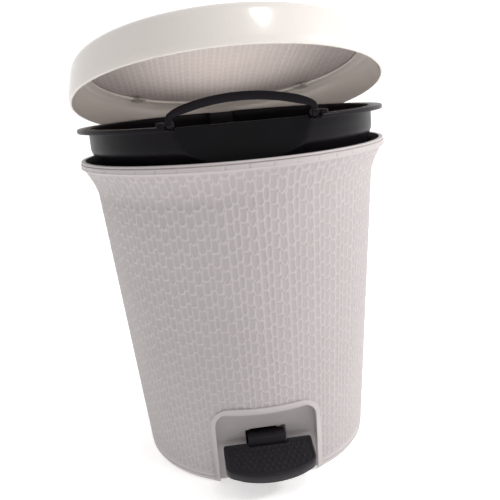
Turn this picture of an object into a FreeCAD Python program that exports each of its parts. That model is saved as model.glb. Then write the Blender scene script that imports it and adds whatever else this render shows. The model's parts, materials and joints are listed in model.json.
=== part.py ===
"""Pedal trash can: round tapered body, lift-out bucket, hinged lid worked by a pedal and push rod.

Millimetres. Origin at the centre of the base on the floor, +Z up, pedal towards -Y, hinge towards +Y.
"""
import FreeCAD, Part
import Sketcher
import math
import os

Vector = FreeCAD.Vector
X_AXIS = Vector(1, 0, 0)
Y_AXIS = Vector(0, 1, 0)
Z_AXIS = Vector(0, 0, 1)

doc = FreeCAD.newDocument("PedalBin")
sheet = doc.addObject("Spreadsheet::Sheet", "Sizes")

DRIVING = {
    # body
    "body_height": 280, "rim_radius": 135, "rim_band": 6.6, "rim_inner": 130.5, "rim_round": 1.2,
    "collar_radius": 132.4, "neck_radius": 122.4, "neck_drop": 35, "foot_radius": 103.6,
    "wall": 2.2, "ring_height": 6, "ring_width": 13, "floor_low": 4, "floor_thick": 3, "foot_pad": 12,
    # pedal niche
    "niche_half": 43, "niche_top": 71, "niche_wall_y": -88, "niche_wall": 2.5, "niche_corner": 14, "lip": 5,
    "slot_half": 17.5, "slot_low": 20, "slot_high": 44.5,
    # pedal
    "axle_y": -62, "axle_z": 30, "axle_radius": 2.5, "axle_half": 28, "running": 0.06, "lever_half": 12,
    "lever_thick": 5, "lever_rear": 101, "lever_hub": 5.5, "post_inside": 16, "post_outside": 24,
    "post_reach": 8, "post_above": 6, "clip_radius": 5, "clip_thick": 2,
    "tread_half": 38, "tread_back": -96, "tread_depth": 38, "tread_top": 37, "tread_tilt": 16,
    "tread_thick": 3, "tread_skirt": 9, "tread_wall": 2.2, "tread_corner": 4.5, "tread_bow": 72.2,
    "notch_half": 16.5, "notch_depth": 5, "tread_screw_x": 6, "tread_screw_back": 16,
    # hinge and push rod
    "hinge_y": 150, "hinge_z": 283.7, "pin_radius": 2, "knuckle_radius": 6, "knuckle_half": 11.5,
    "ear_width": 8, "ear_radius": 7, "bracket_half": 24, "bracket_low": 34, "bracket_back_y": 158,
    "bracket_screw_x": 17, "bracket_screw_low": 24,
    "rod_radius": 2, "rod_low_y": 97.5, "rod_low_z": 34, "rod_slope": 4.42, "rod_length": 253,
    "guide_half": 7, "guide_low": 110, "guide_high": 225, "shoe_radius": 4.2, "tip_radius": 3.4,
    "open_angle": 15,
    # lid
    "lid_radius": 137.8, "lid_height": 33.5, "lid_wall": 2.4, "panel_radius": 120.6, "panel_height": 29,
    "ledge": 2, "dome_rise": 9, "arm_half": 7, "arm_front": 113, "arm_step": 7.6, "arm_screw_x": 3.6,
    # bucket
    "bucket_lift": 23.5, "flange_radius": 134, "flange_thick": 3.5, "bucket_top": 124.5,
    "bucket_waist": 117.4, "bucket_bottom": 103, "bucket_floor": 78, "bucket_wall": 2,
    "bottom_wall": 2.2, "groove_half": 12, "groove_top_y": 110, "flange_flat_y": 127,
    "facet_y": 113.4, "facet_tilt": 8, "facet_half": 56, "front_drop": 1.2, "eye_inside": 49.6,
    "eye_drop": 4.2, "lug_outside": 62.5,
    # handle
    "handle_half": 54, "handle_rise": 16, "handle_y": -115.5, "handle_up": 1.1, "strap_width": 6.4,
    "strap_thick": 3.2, "foot_width": 5, "eye_radius": 4.4, "handle_pin": 2,
}
for row, (alias, value) in enumerate(DRIVING.items(), start=1):
    sheet.set(f"A{row}", alias)
    sheet.set(f"B{row}", str(value))
    sheet.setAlias(f"B{row}", alias)
doc.recompute()


def bound(text):
    """Turn plain alias names in an expression into references to the sheet."""
    words = []
    word = ""
    for letter in text + " ":
        if letter.isalnum() or letter == "_":
            word += letter
            continue
        words.append("Sizes." + word if word in DRIVING else word)
        words.append(letter)
        word = ""
    return "".join(words).strip()


def value_of(text):
    """Present value of an expression, as a plain number."""
    result = sheet.evalExpression(bound(str(text)))
    return float(getattr(result, "Value", result))


def bind(item, **sizes):
    for prop, text in sizes.items():
        item.setExpression(prop.replace("__", "."), bound(str(text)))
    return item


def place(item, x="0", y="0", z="0"):
    item.setExpression("Placement.Base.x", bound(x))
    item.setExpression("Placement.Base.y", bound(y))
    item.setExpression("Placement.Base.z", bound(z))
    return item


def block(name, across, along, up):
    """Box between pairs of expressions along X, Y and Z."""
    item = doc.addObject("Part::Box", name)
    spans = [f"({high}) - ({low})" for low, high in (across, along, up)]
    bind(item, Length=spans[0], Width=spans[1], Height=spans[2])
    return place(item, across[0], along[0], up[0])


def rod(name, radius, length, axis=Z_AXIS, start=("0", "0", "0")):
    item = doc.addObject("Part::Cylinder", name)
    bind(item, Radius=radius, Height=length)
    item.Placement.Rotation = FreeCAD.Rotation(Z_AXIS, axis)
    return place(item, *start)


def fuse(name, *items):
    item = doc.addObject("Part::MultiFuse", name)
    item.Shapes = list(items)
    return item


def common(name, *items):
    item = doc.addObject("Part::MultiCommon", name)
    item.Shapes = list(items)
    return item


def cut(name, base, *tools):
    item = doc.addObject("Part::Cut", name)
    item.Base = base
    item.Tool = tools[0] if len(tools) == 1 else fuse(name + "_tools", *tools)
    return item


def turned(name, item, angle, centre, axis=X_AXIS):
    """The same shape swung about a line through centre."""
    holder = doc.addObject("Part::Compound", name)
    holder.Links = [item]
    point = [value_of(text) for text in centre]
    holder.Placement = FreeCAD.Placement(Vector(), FreeCAD.Rotation(axis, value_of(angle)), Vector(*point))
    return holder


def pin_down(sketch, line, end, horizontal, vertical):
    """Fix one sketch point at two expressions measured from the sketch's origin."""
    for kind, text in (("DistanceX", horizontal), ("DistanceY", vertical)):
        index = sketch.addConstraint(Sketcher.Constraint(kind, -1, 1, line, end, value_of(text)))
        sketch.setExpression(f"Constraints[{index}]", bound(text))


def outline(body, plane, corners):
    """Closed sketch of straight lines through corners, each a pair of expressions."""
    sketch = body.newObject("Sketcher::SketchObject", body.Name + "_profile")
    base = next(item for item in body.Origin.OriginFeatures if item.Role == plane)
    sketch.AttachmentSupport = [(base, "")]
    sketch.MapMode = "FlatFace"
    points = [Vector(value_of(u), value_of(v), 0) for u, v in corners]
    for here, there in zip(points, points[1:] + points[:1]):
        sketch.addGeometry(Part.LineSegment(here, there))
    for line in range(len(points)):
        sketch.addConstraint(Sketcher.Constraint("Coincident", line, 2, (line + 1) % len(points), 1))
    for line, (u, v) in enumerate(corners):
        pin_down(sketch, line, 1, u, v)
    return sketch


def revolved(name, corners):
    """Body turned about Z from a profile of (radius, height) expressions."""
    body = doc.addObject("PartDesign::Body", name)
    sketch = outline(body, "XZ_Plane", corners)
    turn = body.newObject("PartDesign::Revolution", name + "_turn")
    turn.Profile = sketch
    turn.ReferenceAxis = (sketch, ["V_Axis"])
    turn.Angle = 360
    sketch.Visibility = False
    return body


def flare(offset, steps=6):
    """Concave sweep of the body's wall from the neck up to the rim band, moved in by offset."""
    corners = []
    for step in range(steps + 1):
        share = step / steps
        lean = round(1 - math.cos(share * math.pi / 2), 5)
        radius = f"neck_radius + (collar_radius - neck_radius) * {lean} - {offset}"
        height = f"body_height - neck_drop + (neck_drop - rim_band) * {round(share, 5)}"
        corners.append((radius, height))
    return corners


NODES = []


def node(item, label):
    """Keep a finished piece under the name of its file."""
    item.Label = label
    NODES.append(item)
    return item


def rounded_upright(name, item, radius, above=None):
    """Round an item's upright edges; with above, round its lengthwise edges at that height instead."""
    result = doc.addObject("Part::Fillet", name)
    result.Base = item
    doc.recompute()
    size = value_of(radius)
    edges = []
    for number, edge in enumerate(item.Shape.Edges, start=1):
        extent = edge.BoundBox
        upright = above is None and extent.XLength + extent.YLength < 0.01
        lengthwise = above is not None and extent.YLength > 1 and abs(extent.ZMin - value_of(above)) < 0.01
        if upright or lengthwise:
            edges.append((number, size, size))
    result.Edges = edges
    return result


def arch(name, grow, near, far):
    """Niche outline, rounded at the top, from Y near to Y far; grow widens it all round."""
    half = f"niche_half + {grow}"
    top = f"niche_top + {grow}"
    box = block(name + "_box", (f"-({half})", half), (near, far), ("-10", top))
    return rounded_upright(name, box, f"niche_corner + {grow}", top)


# ---------------------------------------------------------------- body
def outer_body():
    outer = flare("0")
    inner = flare("wall")
    corners = [("foot_radius + 0.7", "ring_height")] + outer
    corners += [("rim_radius", "body_height - rim_band"), ("rim_radius", "body_height - rim_round")]
    corners += [("rim_radius - rim_round", "body_height"), ("rim_inner", "body_height")]
    corners += [("rim_inner", "body_height - rim_band")] + inner[-2::-1]
    corners += [("foot_radius + 0.7 - wall", "ring_height")]
    shell = revolved("shell_wall", corners)
    opening = arch("shell_opening", "lip + 0.1", "-130", "-40")
    return node(cut("outer_body_cut", shell, opening, bracket_shanks("body_drill")), "outer_body")


def base():
    step_up = "ring_height + 5"
    ring = revolved("base_ring", [
        ("foot_radius - ring_width", "0"), ("foot_radius - 4", "0"), ("foot_radius - 1", "1.2"),
        ("foot_radius + 0.6", "3.8"), ("foot_radius + 1.0", "ring_height"),
        ("foot_radius + 0.5 - wall", "ring_height"), ("foot_radius + 0.7 - wall", step_up),
        ("foot_radius - 1.6 - wall", step_up), ("foot_radius - 1.8 - wall", "floor_low + floor_thick"),
        ("0", "floor_low + floor_thick"), ("0", "0"), ("foot_pad", "0"), ("foot_pad", "floor_low"),
        ("foot_radius - ring_width", "floor_low")])
    cone = revolved("niche_cone", [
        ("0", "0"), ("foot_radius - 2.6", "0"), ("foot_radius + 0.4", "2"), ("foot_radius + 2", "7"),
        ("neck_radius + 2", "body_height - neck_drop"), ("0", "body_height - neck_drop")])
    surround = common("niche_surround", arch("niche_outer", "lip", "-130", "niche_wall_y + niche_wall"), cone)
    pocket = arch("niche_pocket", "0", "-140", "niche_wall_y")
    slot = block("niche_slot", ("-slot_half", "slot_half"), ("-100", "-70"), ("slot_low", "slot_high"))
    posts = []
    for side, low, high in (("left", "-post_outside", "-post_inside"),
                            ("right", "post_inside", "post_outside")):
        posts.append(block(f"post_{side}", (low, high), ("axle_y - post_reach", "axle_y + post_reach"),
                           ("floor_low + floor_thick", "axle_z + post_above")))
    bore = rod("axle_bore", "axle_radius", "2 * axle_half + 4", X_AXIS,
               ("-axle_half - 2", "axle_y", "axle_z"))
    solid = fuse("base_solid", ring, surround, *posts)
    return node(cut("base_cut", solid, pocket, slot, bore), "base")


def rod_guides():
    """Two brackets on the inside of the rear wall with an eye round the push rod."""
    plates = []
    for height in ("guide_low", "guide_high"):
        centre_y = f"rod_low_y + ({height} - rod_low_z) * tan(rod_slope)"
        plates.append(block(height + "_plate", ("-guide_half", "guide_half"),
                            (f"{centre_y} - 4", f"{centre_y} + 12"), (f"{height} - 3", f"{height} + 3")))
    cavity = revolved("guide_limit", [("0", "0"), ("foot_radius + 0.6 - wall", "ring_height")]
                      + flare("(wall + 0.1)")[:2] + [("0", "body_height - 30")])
    eye = push_line("guide_eye", "rod_radius + running", "-20", "300")
    seated = common("guides_seated", fuse("guides_raw", *plates), cavity)
    return node(cut("rod_guides_cut", seated, eye), "rod_guides")


def push_line(name, radius, start, length):
    """Cylinder on the push rod's slanted line, start measured along it from the rod's lower end."""
    item = doc.addObject("Part::Cylinder", name)
    bind(item, Radius=radius, Height=length)
    slope = value_of("rod_slope")
    item.Placement.Rotation = FreeCAD.Rotation(X_AXIS, -slope)
    return place(item, "0", f"rod_low_y + ({start}) * sin(rod_slope)",
                 f"rod_low_z + ({start}) * cos(rod_slope)")


def hinge_bracket():
    taper = "(neck_radius - foot_radius) / (body_height - neck_drop)"
    across = ("-bracket_half", "bracket_half")
    back = block("bracket_back", across, ("neck_radius - 10", "rim_radius + 2.5"),
                 ("body_height - bracket_low", "body_height - 8"))
    roof = block("bracket_roof", across, ("rim_radius + 1.2", "bracket_back_y"),
                 ("body_height - bracket_low", "body_height - 4"))
    shape = [back, roof]
    for side, low, high in (("left", "-knuckle_half - 0.5 - ear_width", "-knuckle_half - 0.5"),
                            ("right", "knuckle_half + 0.5", "knuckle_half + 0.5 + ear_width")):
        shape.append(block(f"ear_{side}", (low, high), ("hinge_y - ear_radius", "hinge_y + ear_radius"),
                           ("body_height - 10", "hinge_z")))
        shape.append(rod(f"ear_top_{side}", "ear_radius", "ear_width", X_AXIS, (low, "hinge_y", "hinge_z")))
    low = "body_height - neck_drop - 45"
    wall = revolved("bracket_seat", [("0", low), (f"neck_radius - 45 * {taper} + 0.05", low)] + flare("-0.05")
                    + [("rim_radius + 0.6", "body_height - rim_band"), ("rim_radius + 0.6", "300"),
                       ("0", "300")])
    sweep = rod("arm_room", "knuckle_radius + 1", "2 * knuckle_half + 1", X_AXIS,
                ("-knuckle_half - 0.5", "hinge_y", "hinge_z"))
    bore = rod("bracket_bore", "pin_radius", "80", X_AXIS, ("-40", "hinge_y", "hinge_z"))
    solid = fuse("bracket_solid", *shape)
    drill = bracket_shanks("bracket_drill")
    return node(cut("hinge_bracket_cut", solid, wall, sweep, bore, drill), "hinge_bracket")


def bracket_shanks(name):
    shanks = []
    for side, across in (("left", "-bracket_screw_x"), ("right", "bracket_screw_x")):
        shanks.append(rod(f"{name}_{side}", "1.6", "bracket_back_y - 120.8", Y_AXIS,
                          (across, "120.8", "body_height - bracket_screw_low")))
    return fuse(name, *shanks)


def bracket_screws():
    heads = []
    for side, across in (("left", "-bracket_screw_x"), ("right", "bracket_screw_x")):
        heads.append(rod(f"bracket_head_{side}", "3.4", "2", Y_AXIS,
                         (across, "bracket_back_y", "body_height - bracket_screw_low")))
    return node(fuse("bracket_screws_group", bracket_shanks("bracket_screw"), *heads), "bracket_screws")


def hinge_pin():
    shaft = rod("hinge_pin_shaft", "pin_radius", "2 * (knuckle_half + 0.5 + ear_width)", X_AXIS,
                ("-knuckle_half - 0.5 - ear_width", "hinge_y", "hinge_z"))
    head = rod("hinge_pin_head", "3.6", "1.6", X_AXIS,
               ("knuckle_half + 0.5 + ear_width", "hinge_y", "hinge_z"))
    return node(fuse("hinge_pin_solid", shaft, head), "hinge_pin")


def pedal_axle():
    shaft = rod("pedal_axle_rod", "axle_radius", "2 * axle_half", X_AXIS, ("-axle_half", "axle_y", "axle_z"))
    return node(shaft, "pedal_axle")


def axle_clips():
    """Push-on washers that keep the axle from walking out of its posts."""
    clips = []
    for side, start in (("left", "-post_outside - clip_thick"), ("right", "post_outside")):
        disc = rod(f"clip_disc_{side}", "clip_radius", "clip_thick", X_AXIS, (start, "axle_y", "axle_z"))
        hole = rod(f"clip_hole_{side}", "axle_radius", "6", X_AXIS, (f"{start} - 2", "axle_y", "axle_z"))
        clips.append(cut(f"axle_clip_{side}", disc, hole))
    return node(fuse("axle_clips_group", *clips), "axle_clips")


# ---------------------------------------------------------------- pedal
def tilted(name, item):
    return turned(name, item, "tread_tilt", ("0", "tread_back", "tread_top"))


def pedal_lever():
    bar = block("lever_bar", ("-lever_half", "lever_half"), ("-97", "lever_rear"),
                ("axle_z - lever_thick / 2", "axle_z + lever_thick / 2"))
    hub = rod("lever_hub_round", "lever_hub", "2 * lever_half", X_AXIS, ("-lever_half", "axle_y", "axle_z"))
    tongue = block("lever_tongue", ("-lever_half", "lever_half"),
                   ("tread_back - tread_depth + 8", "tread_back + 2"),
                   ("tread_top - tread_thick - 5", "tread_top - tread_thick"))
    bore = rod("lever_bore", "axle_radius + running", "60", X_AXIS, ("-30", "axle_y", "axle_z"))
    solid = fuse("lever_solid", bar, hub, tilted("lever_tongue_tilted", tongue))
    return node(cut("pedal_lever_cut", solid, bore, tilted("lever_drill", tread_screw_shanks("drill"))),
                "pedal_lever")


def tread_screw_shanks(name):
    shanks = []
    for side, across in (("left", "-tread_screw_x"), ("right", "tread_screw_x")):
        shanks.append(rod(f"{name}_shank_{side}", "1.4", "8", Z_AXIS,
                          (across, "tread_back - tread_screw_back", "tread_top - tread_thick - 6.5")))
    return fuse(name + "_shanks", *shanks)


def tread_screws():
    heads = []
    for side, across in (("left", "-tread_screw_x"), ("right", "tread_screw_x")):
        heads.append(rod(f"tread_head_{side}", "3", "1.5", Z_AXIS,
                         (across, "tread_back - tread_screw_back", "tread_top - tread_thick - 6.5")))
    solid = fuse("tread_screws_flat", tread_screw_shanks("screw"), *heads)
    return node(tilted("tread_screws_group", solid), "tread_screws")


def pedal_tread():
    """Plate with a bowed front edge, a shallow skirt, and a notch behind over the lever."""
    def bowed(name, shrink, low, high, corner):
        front = f"tread_back - tread_depth + {shrink}"
        disc = rod(name + "_bow", "tread_bow", f"({high}) - ({low})", Z_AXIS,
                   ("0", f"{front} + tread_bow", low))
        slab = block(name + "_slab", (f"-tread_half + {shrink}", f"tread_half - {shrink}"),
                     ("tread_back - tread_depth", f"tread_back - {shrink}"), (low, high))
        return rounded_upright(name, common(name + "_plan", disc, slab), corner)
    outer = bowed("tread_outer", "0", "tread_top - tread_skirt", "tread_top", "tread_corner")
    hollow = bowed("tread_hollow", "tread_wall", "tread_top - tread_skirt - 1", "tread_top - tread_thick",
                   "tread_corner - tread_wall")
    notch = block("tread_notch", ("-notch_half", "notch_half"),
                  ("tread_back - notch_depth", "tread_back + 4"), ("tread_top - tread_skirt - 1", "tread_top + 1"))
    shell = cut("tread_shell", outer, hollow, notch, tread_screw_shanks("tread_drill"))
    return node(tilted("pedal_tread_tilted", shell), "pedal_tread")


def push_rod():
    return node(push_line("push_rod_wire", "rod_radius", "0", "rod_length"), "push_rod")


def rod_shoe():
    """Plastic foot between the wire and the rear end of the lever."""
    foot = push_line("shoe_body", "shoe_radius", "-0.5", "10")
    hole = push_line("shoe_hole", "rod_radius", "0", "12")
    return node(cut("rod_shoe_cut", foot, hole), "rod_shoe")


def rod_tip():
    cap = push_line("tip_body", "tip_radius", "rod_length - 10", "12")
    dome = doc.addObject("Part::Fillet", "tip_round")
    dome.Base = cap
    doc.recompute()
    top = max(range(len(cap.Shape.Edges)), key=lambda index: cap.Shape.Edges[index].BoundBox.ZMax)
    dome.Edges = [(top + 1, 2, 2)]
    hole = push_line("tip_hole", "rod_radius", "rod_length - 12", "12")
    return node(cut("rod_tip_cut", dome, hole), "rod_tip")


# ---------------------------------------------------------------- lid, drawn shut and swung open
def opened(name, item):
    return turned(name, item, "-open_angle", ("0", "hinge_y", "hinge_z"))


def lid_corners(offset):
    """Outside of the lid ring, edge first, moved in by offset."""
    side = [("lid_radius", "0"), ("lid_radius + 0.2", "5"), ("lid_radius - 1.2", "14"),
            ("lid_radius - 2.6", "22"), ("lid_radius - 4.0", "28"), ("lid_radius - 6.3", "31.7"),
            ("lid_radius - 10.5", "33.1")]
    corners = []
    for radius, height in side:
        lowered = "0" if height == "0" else offset
        corners.append((f"{radius} - {offset}", f"hinge_z + {height} - {lowered}"))
    return corners


def lid_ring():
    outside = lid_corners("0") + [("panel_radius + 3", "hinge_z + lid_height")]
    seat = "hinge_z + panel_height"
    inside = [("panel_radius + 3", seat), ("panel_radius", seat), ("panel_radius", f"{seat} - ledge"),
              ("panel_radius + 6", f"{seat} - ledge")]
    inside += lid_corners("lid_wall")[-2::-1]
    ring = revolved("lid_ring_wall", outside + inside)
    boss = block("lid_boss", ("-10", "10"), ("panel_radius - 2", "lid_radius - 1"),
                 ("hinge_z + 8", "hinge_z + panel_height - 1"))
    keep = revolved("lid_boss_limit", [("0", "hinge_z")] + lid_corners("1")[:4]
                    + [("0", "hinge_z + 22.5")])
    drill = arm_screw_shanks("lid_drill")
    notch = block("lid_notch", ("-knuckle_half - 0.2", "knuckle_half + 0.2"),
                  ("lid_radius - 8", "lid_radius + 4"), ("hinge_z - 1", "hinge_z + 8"))
    solid = fuse("lid_ring_solid", ring, common("lid_boss_trimmed", boss, keep))
    return node(opened("lid_ring_open", cut("lid_ring_cut", solid, notch, drill)), "lid_ring")


def lid_panel():
    """Shallow dished disc that drops into the ring from above."""
    top = "hinge_z + lid_height"
    dome = [("panel_radius * 0.75", f"{top} + dome_rise * 0.45"),
            ("panel_radius * 0.4", f"{top} + dome_rise * 0.85"), ("0", f"{top} + dome_rise")]
    under = [(radius, f"{height} - lid_wall") for radius, height in reversed(dome)]
    panel = revolved("lid_panel_disc", [
        ("panel_radius + 2.8", "hinge_z + panel_height + 0.1"), ("panel_radius + 2.8", f"{top} - 0.4"),
        ("panel_radius - 2", f"{top} + 0.6")] + dome + under
        + [("panel_radius - 8", f"{top} - 1.1"), ("panel_radius - 4", "hinge_z + panel_height + 0.1")])
    return node(opened("lid_panel_open", panel), "lid_panel")


def panel_clips():
    """Small tabs, pushed on from below, that hold the panel down on its ledge."""
    clips = []
    for number in range(4):
        angle = 45 + 90 * number
        shape = block(f"clip_{number}", ("panel_radius - 9", "panel_radius + 4"), ("-5", "5"),
                      ("hinge_z + panel_height - ledge - 1.6", "hinge_z + panel_height - ledge"))
        clips.append(turned(f"panel_clip_{number}", shape, str(angle), ("0", "0", "0"), Z_AXIS))
    return node(opened("panel_clips_open", fuse("panel_clips_group", *clips)), "panel_clips")


def hinge_arm():
    """Knuckle behind the lid, tongue over the push rod, and a pad under the lid's boss."""
    knuckle = rod("arm_knuckle", "knuckle_radius", "2 * knuckle_half", X_AXIS,
                  ("-knuckle_half", "hinge_y", "hinge_z"))
    web = block("arm_web", ("-knuckle_half", "knuckle_half"), ("lid_radius - arm_step", "hinge_y"),
                ("hinge_z - 2.7", "hinge_z + 5"))
    tongue = block("arm_tongue", ("-arm_half", "arm_half"), ("arm_front", "hinge_y"),
                   ("hinge_z - 2.7", "hinge_z - 0.2"))
    pad = block("arm_pad", ("-arm_half", "arm_half"), ("arm_front", "lid_radius - arm_step"),
                ("hinge_z - 0.2", "hinge_z + 7.9"))
    bore = rod("arm_bore", "pin_radius + running", "80", X_AXIS, ("-40", "hinge_y", "hinge_z"))
    solid = fuse("arm_solid", knuckle, web, tongue, pad)
    drill = arm_screw_shanks("arm_drill")
    return node(opened("hinge_arm_open", cut("hinge_arm_cut", solid, bore, drill)), "hinge_arm")


def arm_screw_shanks(name):
    shanks = []
    for side, across in (("left", "-arm_screw_x"), ("right", "arm_screw_x")):
        shanks.append(rod(f"{name}_shank_{side}", "1.3", "17", Z_AXIS, (across, "125", "hinge_z - 2.7")))
    return fuse(name + "_shanks", *shanks)


def arm_screws():
    return node(opened("arm_screws_open", arm_screw_shanks("arm_screw")), "arm_screws")


# ---------------------------------------------------------------- bucket, drawn where it is held
HANDLE_Z = "(body_height + bucket_lift + flange_thick + handle_up)"


def lean_box(name, half, face, tilt, pivot_z, front=False):
    """Box that takes away all beyond a leaning face, at the front or at the rear."""
    near = f"-({face})" if front else face
    span = (f"{near} - 60", near) if front else (near, f"{near} + 60")
    item = block(name + "_box", (f"-({half})", half), span, (f"{pivot_z} - 260", f"{pivot_z} + 40"))
    return turned(name, item, f"-({tilt})", ("0", near, pivot_z))


def inner_bucket():
    lift = "body_height + bucket_lift"
    flange_z = f"{lift} + flange_thick"

    def wall_line(inset, drop):
        return [(f"bucket_bottom - {inset}", f"bucket_floor + bucket_lift + {drop}"),
                (f"bucket_waist - {inset}", f"{lift} - 38"),
                (f"bucket_waist + 1.6 - {inset}", f"{lift} - 28"),
                (f"bucket_waist + 4 - {inset}", f"{lift} - 22"), (f"bucket_top - {inset}", f"{lift} - 16")]
    solid = revolved("bucket_solid", [("0", "bucket_floor + bucket_lift")] + wall_line("0", "0")
                     + [("bucket_top", lift), ("flange_radius", lift), ("flange_radius", flange_z),
                        ("0", flange_z)])
    hollow = revolved("bucket_hollow", [("0", "bucket_floor + bucket_lift + bottom_wall")]
                      + wall_line("bucket_wall", "bottom_wall")
                      + [("bucket_top - bucket_wall", f"{flange_z} + 1"), ("0", f"{flange_z} + 1")])
    facet = lean_box("facet_cut", "facet_half", "facet_y", "facet_tilt", flange_z, True)
    facet_in = lean_box("facet_keep", "90", "facet_y - bucket_wall", "facet_tilt", flange_z, True)
    groove = lean_box("groove_cut", "groove_half", "groove_top_y", "rod_slope", flange_z)
    groove_in = lean_box("groove_keep", "groove_half + bucket_wall", "groove_top_y - bucket_wall",
                         "rod_slope", flange_z)
    cavity = cut("bucket_cavity", hollow, facet_in, groove_in)
    above = f"{flange_z} + 5"
    depth = ("-flange_radius - 6", "-60")
    dips = [block("bucket_dip", ("-facet_half", "facet_half"), depth, (f"{flange_z} - front_drop", above))]
    for side, low, high in (("left", "-facet_half", "-eye_inside"), ("right", "eye_inside", "facet_half")):
        dips.append(block(f"eye_room_{side}", (low, high), depth, (f"{flange_z} - eye_drop", above)))
    lugs = []
    for side, low, high in (("left", "-lug_outside", "-facet_half - 0.01"),
                            ("right", "facet_half + 0.01", "lug_outside")):
        lugs.append(block(f"lug_{side}", (low, high), ("handle_y - 4.5", "handle_y + 7"),
                          (lift, f"{HANDLE_Z} + 4")))
    pins = rod("bucket_pin_bore", "handle_pin", "140", X_AXIS, ("-70", "handle_y", HANDLE_Z))
    rear_flat = block("flange_flat", ("-70", "70"), ("flange_flat_y", "200"),
                      (f"{lift} - 1", f"{flange_z} + 1"))
    outer = fuse("bucket_outer", cut("bucket_faced", solid, facet, groove, *dips, rear_flat), *lugs)
    return node(cut("inner_bucket_cut", outer, cavity, pins), "inner_bucket")


def handle_pins():
    left = rod("handle_pin_left", "handle_pin", "13", X_AXIS, ("-lug_outside", "handle_y", HANDLE_Z))
    right = rod("handle_pin_right", "handle_pin", "13", X_AXIS, ("lug_outside - 13", "handle_y", HANDLE_Z))
    return node(fuse("handle_pins_group", left, right), "handle_pins")


def bucket_handle():
    """Low arch of flat strap, standing up, with an eye at each end."""
    height = HANDLE_Z
    front = "handle_y - strap_thick / 2"
    crown = "((handle_half - 8)^2 + (handle_rise - 9)^2) / (2 * (handle_rise - 9))"
    centre_z = f"{height} + handle_rise - {crown}"
    outer = rod("strap_outer", f"{crown} + strap_width / 2", "strap_thick", Y_AXIS, ("0", front, centre_z))
    inner = rod("strap_inner", f"{crown} - strap_width / 2", "strap_thick + 2", Y_AXIS,
                ("0", f"{front} - 1", centre_z))
    window = block("strap_window", ("-handle_half + 3", "handle_half - 3"), (f"{front} - 1", "handle_y + 5"),
                   (f"{height} + 3", f"{height} + 40"))
    pieces = [common("strap_crown", cut("strap_ring", outer, inner), window)]
    for side, sign in (("left", "-1"), ("right", "1")):
        start = f"{sign} * (handle_half - 1) - foot_width / 2"
        foot = block(f"strap_foot_{side}", (start, f"{start} + foot_width"),
                     (front, "handle_y + strap_thick / 2"), (height, f"{height} + 12"))
        eye = rod(f"strap_eye_{side}", "eye_radius", "foot_width", X_AXIS, (start, "handle_y", height))
        pieces += [foot, eye]
    bore = rod("strap_bore", "handle_pin + running", "140", X_AXIS, ("-70", "handle_y", height))
    return node(cut("bucket_handle_cut", fuse("strap_solid", *pieces), bore), "bucket_handle")


outer_body()
base()
rod_guides()
hinge_bracket()
bracket_screws()
hinge_pin()
pedal_axle()
axle_clips()
pedal_lever()
tread_screws()
pedal_tread()
push_rod()
rod_shoe()
rod_tip()
lid_ring()
lid_panel()
panel_clips()
hinge_arm()
arm_screws()
inner_bucket()
handle_pins()
bucket_handle()

doc.recompute()
for item in doc.Objects:
    if "Invalid" in item.State or "Error" in item.State:
        raise RuntimeError(f"{item.Name} failed: {item.State}")
os.makedirs("parts", exist_ok=True)
for item in NODES:
    if item.Shape.isNull() or not item.Shape.isValid() or not item.Shape.Solids:
        raise RuntimeError(f"{item.Label} has no valid solid")
    item.Shape.exportStep(f"parts/{item.Label}.step")
    print(item.Label, len(item.Shape.Solids), round(item.Shape.Volume))
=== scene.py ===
import contextlib
import json
import math

import bmesh
import bpy
import numpy as np
from mathutils import Matrix, Vector


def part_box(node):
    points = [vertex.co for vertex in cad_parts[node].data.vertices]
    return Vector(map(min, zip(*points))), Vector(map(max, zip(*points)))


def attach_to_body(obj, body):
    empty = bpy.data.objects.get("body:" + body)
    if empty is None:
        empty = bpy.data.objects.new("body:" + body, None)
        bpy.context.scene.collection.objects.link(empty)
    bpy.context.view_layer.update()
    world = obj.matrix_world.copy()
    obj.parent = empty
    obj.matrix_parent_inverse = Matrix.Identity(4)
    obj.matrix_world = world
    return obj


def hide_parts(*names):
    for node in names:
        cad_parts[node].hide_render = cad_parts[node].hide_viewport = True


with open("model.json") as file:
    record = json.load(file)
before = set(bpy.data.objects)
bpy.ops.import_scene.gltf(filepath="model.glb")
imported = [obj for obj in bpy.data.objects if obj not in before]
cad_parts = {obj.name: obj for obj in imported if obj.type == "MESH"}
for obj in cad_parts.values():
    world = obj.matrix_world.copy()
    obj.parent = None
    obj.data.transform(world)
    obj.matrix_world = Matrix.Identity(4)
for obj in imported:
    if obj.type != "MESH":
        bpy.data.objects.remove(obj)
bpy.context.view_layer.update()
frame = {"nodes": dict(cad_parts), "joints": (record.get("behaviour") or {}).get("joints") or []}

NODES = frame["nodes"]
MM = 0.001


# ------------------------------------------------------------------ materials
def new_material(name, colour, roughness, specular=0.5, coat=0.0, coat_roughness=0.1):
    material = bpy.data.materials.new(name)
    material.use_nodes = True
    shader = material.node_tree.nodes["Principled BSDF"]
    shader.inputs["Base Color"].default_value = (*colour, 1)
    shader.inputs["Roughness"].default_value = roughness
    shader.inputs["Specular IOR Level"].default_value = specular
    shader.inputs["Coat Weight"].default_value = coat
    shader.inputs["Coat Roughness"].default_value = coat_roughness
    return material, material.node_tree.nodes, material.node_tree.links, shader


def noise(nodes, links, scale, detail=4.0, stretch=None):
    """3D noise in object space; stretch squeezes it along an axis."""
    place = nodes.new("ShaderNodeTexCoord")
    texture = nodes.new("ShaderNodeTexNoise")
    texture.inputs["Scale"].default_value = scale
    texture.inputs["Detail"].default_value = detail
    source = place.outputs["Object"]
    if stretch:
        mapping = nodes.new("ShaderNodeMapping")
        mapping.inputs["Scale"].default_value = stretch
        links.new(source, mapping.inputs["Vector"])
        source = mapping.outputs["Vector"]
    links.new(source, texture.inputs["Vector"])
    return texture.outputs["Fac"]


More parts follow.
